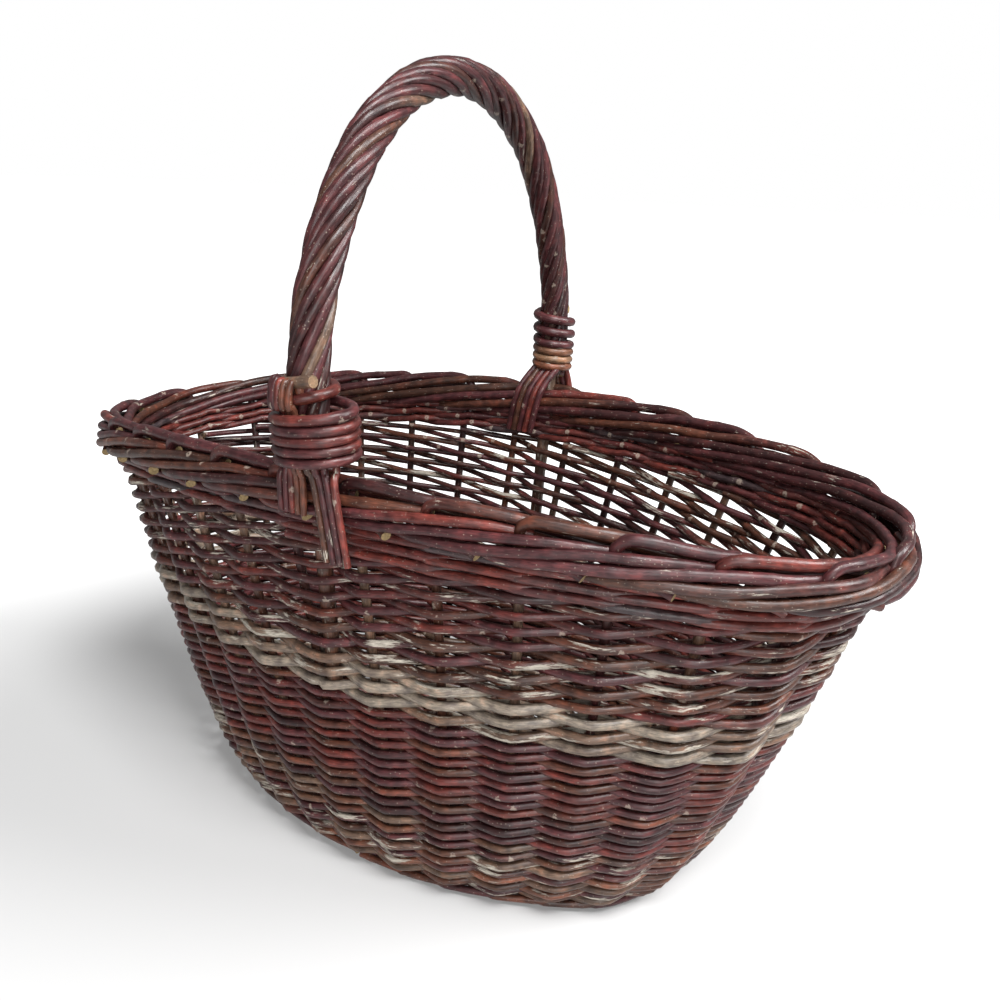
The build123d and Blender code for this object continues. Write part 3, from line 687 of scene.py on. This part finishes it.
nearTurns = collar["nearBound"] + collar["nearUpper"]
nearRod = {"path": windRod(nearWinding, nearTurns, collar["rod"], collar["stub"]),
           "colour": "plum", "other": "red", "peel": collar["peel"], **collar["near"]}
makeRods("near_collar_rod", [nearRod], ("near_collar",), 10)
farTurns = collar["farClose"] + collar["farOpen"]
farRod = {"path": windRod(farWinding, farTurns, collar["rod"], collar["rod"]),
          "colour": "rust", "other": "tan", "peel": collar["peel"], **collar["far"]}
makeRods("far_collar_rod", [farRod], ("far_collar",), 10)

# tails: the roping rods' ends, hanging over the border

tails = {
    "clearance": 0.4, "step": 1, "pathStep": 2, "turnDown": 3, "hang": 11, "wallGap": 1.4,
    "outsideShare": 0.98, "insideShare": 0.905,
    # topBend: how far the left tails' upper ends lie aside, back and up from the point beside the roping
    "left": {"radius": 1.55, "swell": 1.15, "count": 5,
             "topBend": [(1, 6, -7), (0.8, 4.5, -2.2), (0.4, 1.6, -1.2), (0, 0, -6)],
             "spacing": 3.4, "top": 44, "first": 1.9, "end": 0.92, "peel": 0.3, "tip": 0.85,
             "colours": ["plum", "plum", "red", "brown", "brown"]},
    "right": {"radius": 1.75, "count": 4, "spacing": 4, "slant": 9, "first": 1.9, "end": 0.84,
              "peel": 0.6, "tip": 1,
              "colours": ["umber", "plum", "plum", "red"]},
    "far": {"radius": 2.05, "spacing": 4.2, "end": 0.875, "gather": 0.95, "beside": 7.6,
            "peel": 0.3, "tip": 1,
            "colours": ["plum", "umber", "plum", "red", "plum"]},
}


def boundPoint(x, z, radius):
    slack = collar["rod"] / 2 + collar["clearance"] + radius
    across = (x - collar["nearX"]) / (collar["nearHalfX"] - slack)
    middleY = -legAxis(z) - collar["nearOutset"]
    return Vector((x, middleY - (collar["nearHalfY"] - slack) * sqrt(1 - across ** 2), z))


def hangY(radius, side):
    middle = halfWidth(tails["outsideShare"] if side > 0 else tails["insideShare"]) + tails["wallGap"]
    return middle + side * (tails["hang"] + tails["clearance"] + radius)


boundLow = rimHeight + collar["nearLift"]
boundHigh = boundLow + climb(collar["nearBound"], collar["nearBound"], collar["nearUpperPitch"])
stepOut = boundHigh + collar["nearUpperPitch"] / 2
turnDownZ = rimHeight - tails["turnDown"]
left, right, far = tails["left"], tails["right"], tails["far"]
leftRods = []
overReach = windingRadius + collar["rod"] / 2 + tails["clearance"] + left["radius"]
for number in range(left["count"]):
    x = (number - left["count"] + left["first"]) * left["spacing"]
    overY = -legAxis(stepOut) - sqrt(overReach ** 2 - x ** 2)
    stepZ = stepOut + x / windingRadius * (collar["nearUpperPitch"] + collar["pitch"]) / 8
    top = rimHeight + left["top"]
    points = [Vector((x + aside, overY + back, top + up)) for aside, back, up in left["topBend"]]
    points += [Vector((x, overY, stepZ + tails["step"])),
               boundPoint(x, stepZ - tails["step"], left["radius"]),
               boundPoint(x, boundLow, left["radius"]), Vector((x, -hangY(left["radius"], 1), turnDownZ)),
               Vector((x, -hangY(left["radius"], 1), left["end"] * rimHeight))]
    leftRods.append({"path": smoothPath(points, tails["pathStep"]),
                     "radius": left["radius"] * left["swell"],
                     "colour": left["colours"][number], "other": left["colours"][number],
                     "peel": left["peel"], "tip": left["tip"]})
makeRods("near_left_tail_rods", leftRods, ("near_left_tails",), 8)
rightRods = []
for number in range(right["count"]):
    x = (number + right["first"]) * right["spacing"]
    points = [boundPoint(x, boundHigh + collar["rod"] / 2, right["radius"]),
              boundPoint(x, boundLow, right["radius"]),
              Vector((x + right["slant"] / 4, -hangY(right["radius"], 1), turnDownZ)),
              Vector((x + right["slant"], -hangY(right["radius"], 1), right["end"] * rimHeight))]
    rightRods.append({"path": smoothPath(points, tails["pathStep"]), "radius": right["radius"],
                      "colour": right["colours"][number], "other": right["colours"][number],
                      "peel": right["peel"], "tip": right["tip"]})
makeRods("near_right_tail_rods", rightRods, ("near_right_tails",), 8)

underCollar = rimHeight + collar["farLift"] + 1
for name, count, side, slant in (("far_inner_tails", 5, -1, -13), ("far_outer_tails", 4, 1, 7)):
    rods = []
    for number in range(count):
        x = (number - (count - 1) / 2) * far["spacing"]
        awayY = hangY(far["radius"], side)
        startY = legAxis(underCollar) + side * far["beside"]
        points = [Vector((x * far["gather"], startY, underCollar)),
                  Vector((x + slant / 2, awayY, turnDownZ)),
                  Vector((x + slant, awayY, far["end"] * rimHeight))]
        rods.append({"path": smoothPath(points, tails["pathStep"]), "radius": far["radius"],
                     "colour": far["colours"][number], "peel": far["peel"], "tip": far["tip"]})
    makeRods(name[:-1] + "_rods", rods, (name,), 8)
print("collars and tails done")

# the base: sticks both ways and rods woven round them in ovals

base = {
    "crossRadius": 4, "longRadius": 2.5, "weaverRadius": 1.65, "crossCount": 8, "longCount": 4,
    "grow": -6.9, "inset": 12.1, "firstInset": 9.2, "spacing": 3.9, "leastHalfWidth": 3.5,
    "leastSteps": 80, "roundness": 4.4, "stepLength": 3.2, "flatEnd": 0.97, "stickStep": 12, "peel": 0.5,
    "colours": ["plum", "brown", "umber", "greyBrown"], "others": ["brown", "red", "umber"],
}
baseArcs = ovalArcs(basket["baseHalfLength"], basket["baseHalfWidth"])
quarterRound = baseArcs[1] * (pi / 2 - baseArcs[4]) + baseArcs[0] * baseArcs[4]
stickPitch = 4 * quarterRound / stakeCount
longPlaces = [(n - (base["longCount"] - 1) / 2) * stickPitch for n in range(base["longCount"])]
crossPlaces = [(n - (base["crossCount"] - 1) / 2) * stickPitch for n in range(base["crossCount"])]
longRods, crossRods = [], []
for y in longPlaces:
    reach = baseArcs[2] + sqrt((baseArcs[0] + base["grow"]) ** 2 - y ** 2) - base["inset"]
    ends = [Vector((-reach, y, middleZ)), Vector((reach, y, middleZ))]
    longRods.append({"path": smoothPath(ends, base["stickStep"]), "radius": base["longRadius"],
                     "colour": "brown", "other": "umber", "tip": 1})
for x in crossPlaces:
    reach = sqrt((baseArcs[1] + base["grow"]) ** 2 - x ** 2) - baseArcs[3] - base["inset"]
    ends = [Vector((x, -reach, middleZ)), Vector((x, reach, middleZ))]
    crossRods.append({"path": smoothPath(ends, base["stickStep"]), "radius": base["crossRadius"],
                      "colour": "umber", "other": "brown", "tip": 1})
makeRods("base_long_stick_rods", longRods, ("base_long_sticks",), 10)
makeRods("base_cross_stick_rods", crossRods, ("base_cross_sticks",), 10)

baseRods = []
turnNumber = 0
inset = base["firstInset"]
while basket["baseHalfWidth"] - inset > base["leastHalfWidth"]:
    a, b = basket["baseHalfLength"] - inset, basket["baseHalfWidth"] - inset
    steps = max(base["leastSteps"], int(base["roundness"] * (a + b) / base["stepLength"]))
    ring = [ovalSpot(a, b, i / steps) for i in range(steps)]
    crossings = []  # where the ring meets a stick
    for i in range(steps):
        p, q = ring[i], ring[(i + 1) % steps]
        for x in crossPlaces:
            if (p[0] - x) * (q[0] - x) <= 0 and p[0] != q[0]:
                crossings.append((i, base["crossRadius"]))
        for y in longPlaces:
            if (p[1] - y) * (q[1] - y) <= 0 and p[1] != q[1] and abs(p[1]) < b * base["flatEnd"]:
                crossings.append((i, base["longRadius"]))
    crossings.sort()
    path = []
    count = len(crossings)
    for i in range(steps + 1):
        index = i % steps
        nextUp = next((n for n, c in enumerate(crossings) if c[0] > index), 0)
        before, after = crossings[nextUp - 1], crossings[nextUp]
        span = (after[0] - before[0]) % steps or 1
        part = ((index - before[0]) % steps) / span
        signBefore = 1 if (nextUp - 1 + turnNumber) % 2 == 0 else -1
        high = before[1] * (1 - part) + after[1] * part + base["weaverRadius"]
        z = middleZ + signBefore * cos(pi * part) * high
        x, y = ring[index]
        path.append(Vector((x, y, z)))
    rng = random.Random(turnNumber)
    baseRods.append({"path": path, "radius": base["weaverRadius"], "colour": rng.choice(base["colours"]),
                     "other": rng.choice(base["others"]), "peel": base["peel"], "tip": 1})
    inset += base["spacing"]
    turnNumber += 1
makeRods("base_weave_rods", baseRods, ("base_weave",), 8)
print("base done")

# floor, light and camera

paper = {"size": 60, "colour": "#c2c2c2", "nearGlow": 0.12, "fadeFrom": 0.3, "fadeTo": 0.75}
bpy.ops.mesh.primitive_plane_add(size=paper["size"], location=(0, 0, 0))
ground = bpy.context.object
ground.name = "studio_floor"
white = bpy.data.materials.new("white_studio_paper")
white.use_nodes = True
tree = white.node_tree
tree.nodes.clear()
matte = addNode(tree, "ShaderNodeBsdfPrincipled", None,
                {"Base Color": hexToLinear(paper["colour"]), "Roughness": 0.95, "Specular IOR Level": 0.1})
# seen by the camera, the paper whitens away from the basket and keeps the shadow near it
spot = addNode(tree, "ShaderNodeTexCoord").outputs["Object"]
away = addNode(tree, "ShaderNodeVectorMath", {"operation": "LENGTH"}, None, {0: spot}).outputs["Value"]
glow = addNode(tree, "ShaderNodeMapRange", {"interpolation_type": "SMOOTHSTEP"},
               {"From Min": paper["fadeFrom"], "From Max": paper["fadeTo"], "To Min": paper["nearGlow"],
                "To Max": 1},
               {"Value": away}).outputs["Result"]
ray = addNode(tree, "ShaderNodeLightPath").outputs["Is Camera Ray"]
seenGlow = addNode(tree, "ShaderNodeMath", {"operation": "MULTIPLY"}, None,
                   {0: glow, 1: ray}).outputs["Value"]
lightUp = addNode(tree, "ShaderNodeEmission", None, None, {"Strength": seenGlow})
both = addNode(tree, "ShaderNodeAddShader", None, None,
               {0: matte.outputs["BSDF"], 1: lightUp.outputs["Emission"]})
addNode(tree, "ShaderNodeOutputMaterial", None, None, {"Surface": both.outputs["Shader"]})
ground.data.materials.append(white)

sky = {"light": 0.25, "seen": 1}
world = bpy.data.worlds.new("studio_sky")
bpy.context.scene.world = world
world.use_nodes = True
tree = world.node_tree
tree.nodes.clear()
ray = addNode(tree, "ShaderNodeLightPath")
seen = addNode(tree, "ShaderNodeMath", {"operation": "MAXIMUM"}, None,
               {0: ray.outputs["Is Camera Ray"], 1: ray.outputs["Is Transmission Ray"]})
lightSky = addNode(tree, "ShaderNodeBackground", None, {"Color": (1, 1, 1, 1), "Strength": sky["light"]})
whiteSky = addNode(tree, "ShaderNodeBackground", None, {"Color": (1, 1, 1, 1), "Strength": sky["seen"]})
mixed = addNode(tree, "ShaderNodeMixShader", None, None,
                {0: seen.outputs["Value"], 1: lightSky.outputs["Background"],
                 2: whiteSky.outputs["Background"]})
addNode(tree, "ShaderNodeOutputWorld", None, None, {"Surface": mixed.outputs["Shader"]})

lampAim = Vector((0, 0, 0.15))
lamps = [  # name, place, size, watts
    ("key_softbox", (1.25, 0.4, 1.25), 0.7, 29),
    ("top_softbox", (0.75, -0.55, 1.75), 0.7, 38),
    ("front_softbox", (0.9, -1.5, 0.7), 1.0, 16),
]
for name, place, size, watts in lamps:
    light = bpy.data.lights.new(name, "AREA")
    light.shape = "DISK"
    light.size = size
    light.energy = watts
    lamp = bpy.data.objects.new(name, light)
    lamp.location = place
    lamp.rotation_euler = (lampAim - Vector(place)).to_track_quat("-Z", "Y").to_euler()
    bpy.context.scene.collection.objects.link(lamp)

photoView = {  # fitted to the photograph: the lens in mm, the place in metres, the camera's own directions
    "lens": 32.54, "sensorWidth": 36, "place": (0.27245, -0.42908, 0.37664),
    "right": (0.86508, 0.49994, 0.04125), "up": (-0.19830, 0.26529, 0.94356),
    "forward": (-0.46077, 0.82443, -0.32863),
}
cameraData = bpy.data.cameras.new("photo_camera")
cameraData.lens = photoView["lens"]
cameraData.sensor_width = photoView["sensorWidth"]
camera = bpy.data.objects.new("photo_camera", cameraData)
rows = (Vector(photoView["right"]), Vector(photoView["up"]), -Vector(photoView["forward"]))
turned = Matrix(rows).transposed().to_4x4()
turned.translation = Vector(photoView["place"])
camera.matrix_world = turned
bpy.context.scene.collection.objects.link(camera)
bpy.context.scene.camera = camera
bpy.context.scene.view_settings.view_transform = "Standard"
print("stage done")
